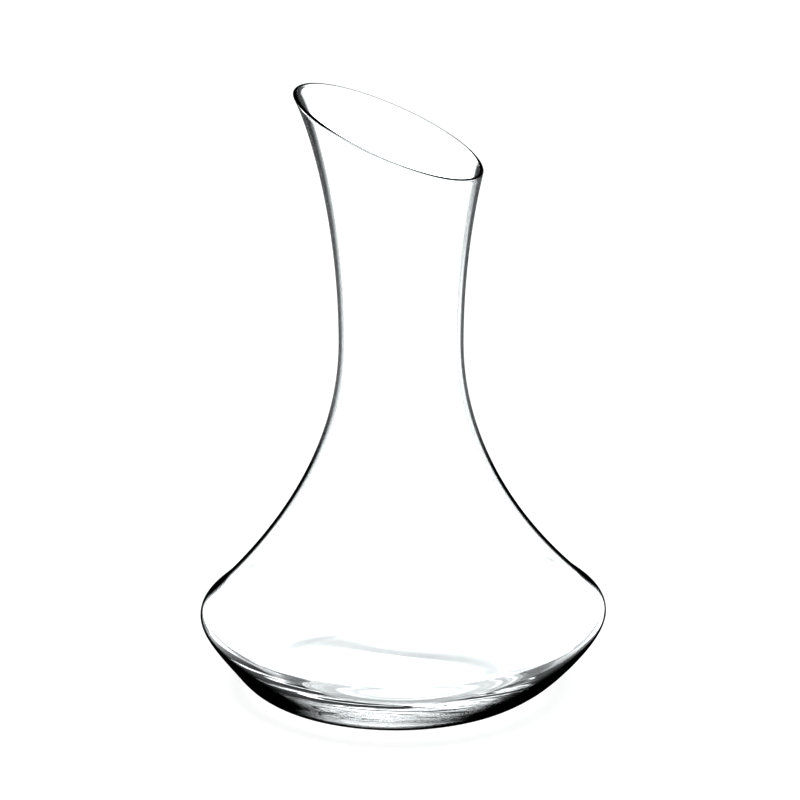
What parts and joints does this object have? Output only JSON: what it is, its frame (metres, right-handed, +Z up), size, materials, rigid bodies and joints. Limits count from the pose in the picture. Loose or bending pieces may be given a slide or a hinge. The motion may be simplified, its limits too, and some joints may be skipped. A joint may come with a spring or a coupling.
{
  "type": "wine decanter",
  "caption": "Clear glass wine decanter with a wide low bowl, a drawn-in neck that flares again, and a mouth cut on a slant.",
  "frame": {"origin": "under the middle of the bowl's widest ring, on the surface that the decanter stands on", "axes": "+Z up along the axis of the bowl; the high side of the slanted mouth points along -X and the low side along +X; -Y is the front"},
  "size_m": [0.1738, 0.1738, 0.2673],
  "materials": {
    "clear_glass": "polished"
  },
  "bodies": {
    "root": {"glass_body": "clear_glass"}
  },
  "joints": []
}
